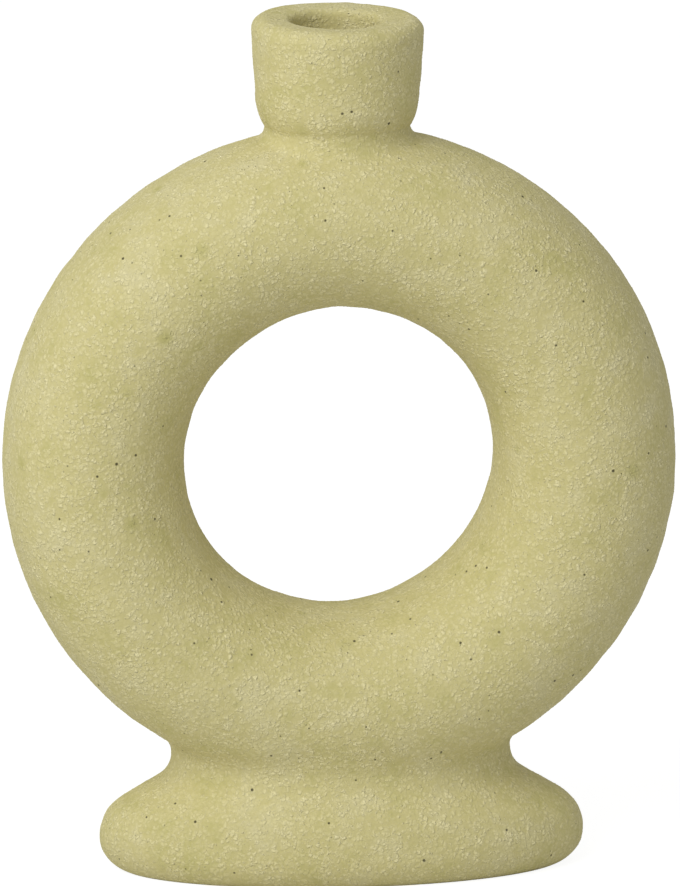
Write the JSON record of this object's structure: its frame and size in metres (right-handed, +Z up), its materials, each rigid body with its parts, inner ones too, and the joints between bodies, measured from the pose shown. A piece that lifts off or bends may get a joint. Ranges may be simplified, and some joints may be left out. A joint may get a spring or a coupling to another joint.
{
  "type": "donut vase",
  "caption": "Upright hollow ring of sandy stoneware on a flared oval foot, with a thick collar neck and a round mouth for flower stems.",
  "frame": {"origin": "on the table, under the middle of the foot", "axes": "+Z up through the mouth, X across the ring, Y along the ring's axis, with the front towards -Y"},
  "size_m": [0.171, 0.0592, 0.2199],
  "materials": {
    "sandy_glaze": "matte, gritty, pale yellow-green with small dark specks",
    "bare_clay": "matte, unglazed fired clay"
  },
  "bodies": {
    "root": {"ring_front_shell": "sandy_glaze", "ring_rear_shell": "sandy_glaze", "ring_outer_luting_coil": "sandy_glaze", "ring_inner_luting_coil": "sandy_glaze", "neck_collar": "sandy_glaze", "neck_luting_coil": "sandy_glaze", "foot_pedestal": "sandy_glaze", "foot_luting_coil": "sandy_glaze", "foot_floor": "bare_clay", "floor_luting_coil": "bare_clay"}
  },
  "joints": []
}
